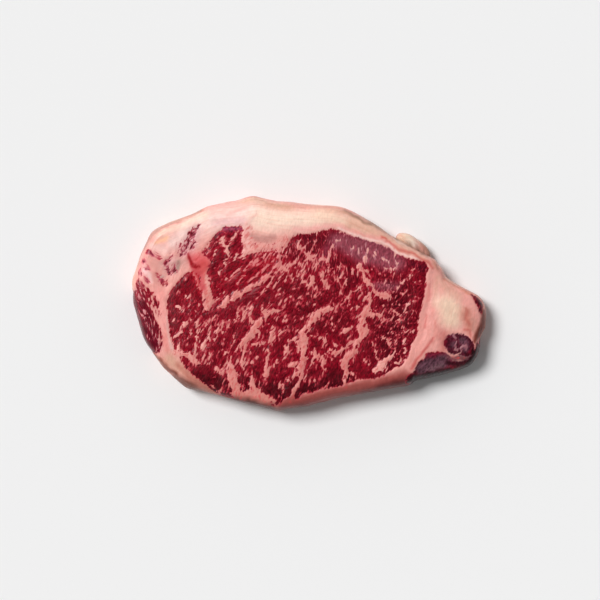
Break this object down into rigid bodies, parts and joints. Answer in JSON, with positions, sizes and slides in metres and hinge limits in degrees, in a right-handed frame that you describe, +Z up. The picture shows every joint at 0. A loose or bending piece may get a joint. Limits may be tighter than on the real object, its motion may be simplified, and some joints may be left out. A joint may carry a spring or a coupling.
{
  "type": "raw sirloin steak",
  "caption": "Raw sirloin steak: one thick slice of marbled beef with a fat cap, a fat tail and small side muscles, lying flat.",
  "frame": {"origin": "on the flat underside, below the middle of the steak's box", "axes": "+X along the slice towards the fat tail, +Y towards the fat cap, +Z up out of the cut face"},
  "size_m": [0.1994, 0.1206, 0.021],
  "materials": {
    "raw_beef": "moist raw beef, dark red lean with pink marbling and cream fat, satin sheen"
  },
  "bodies": {
    "root": {"steak": "raw_beef"}
  },
  "joints": []
}
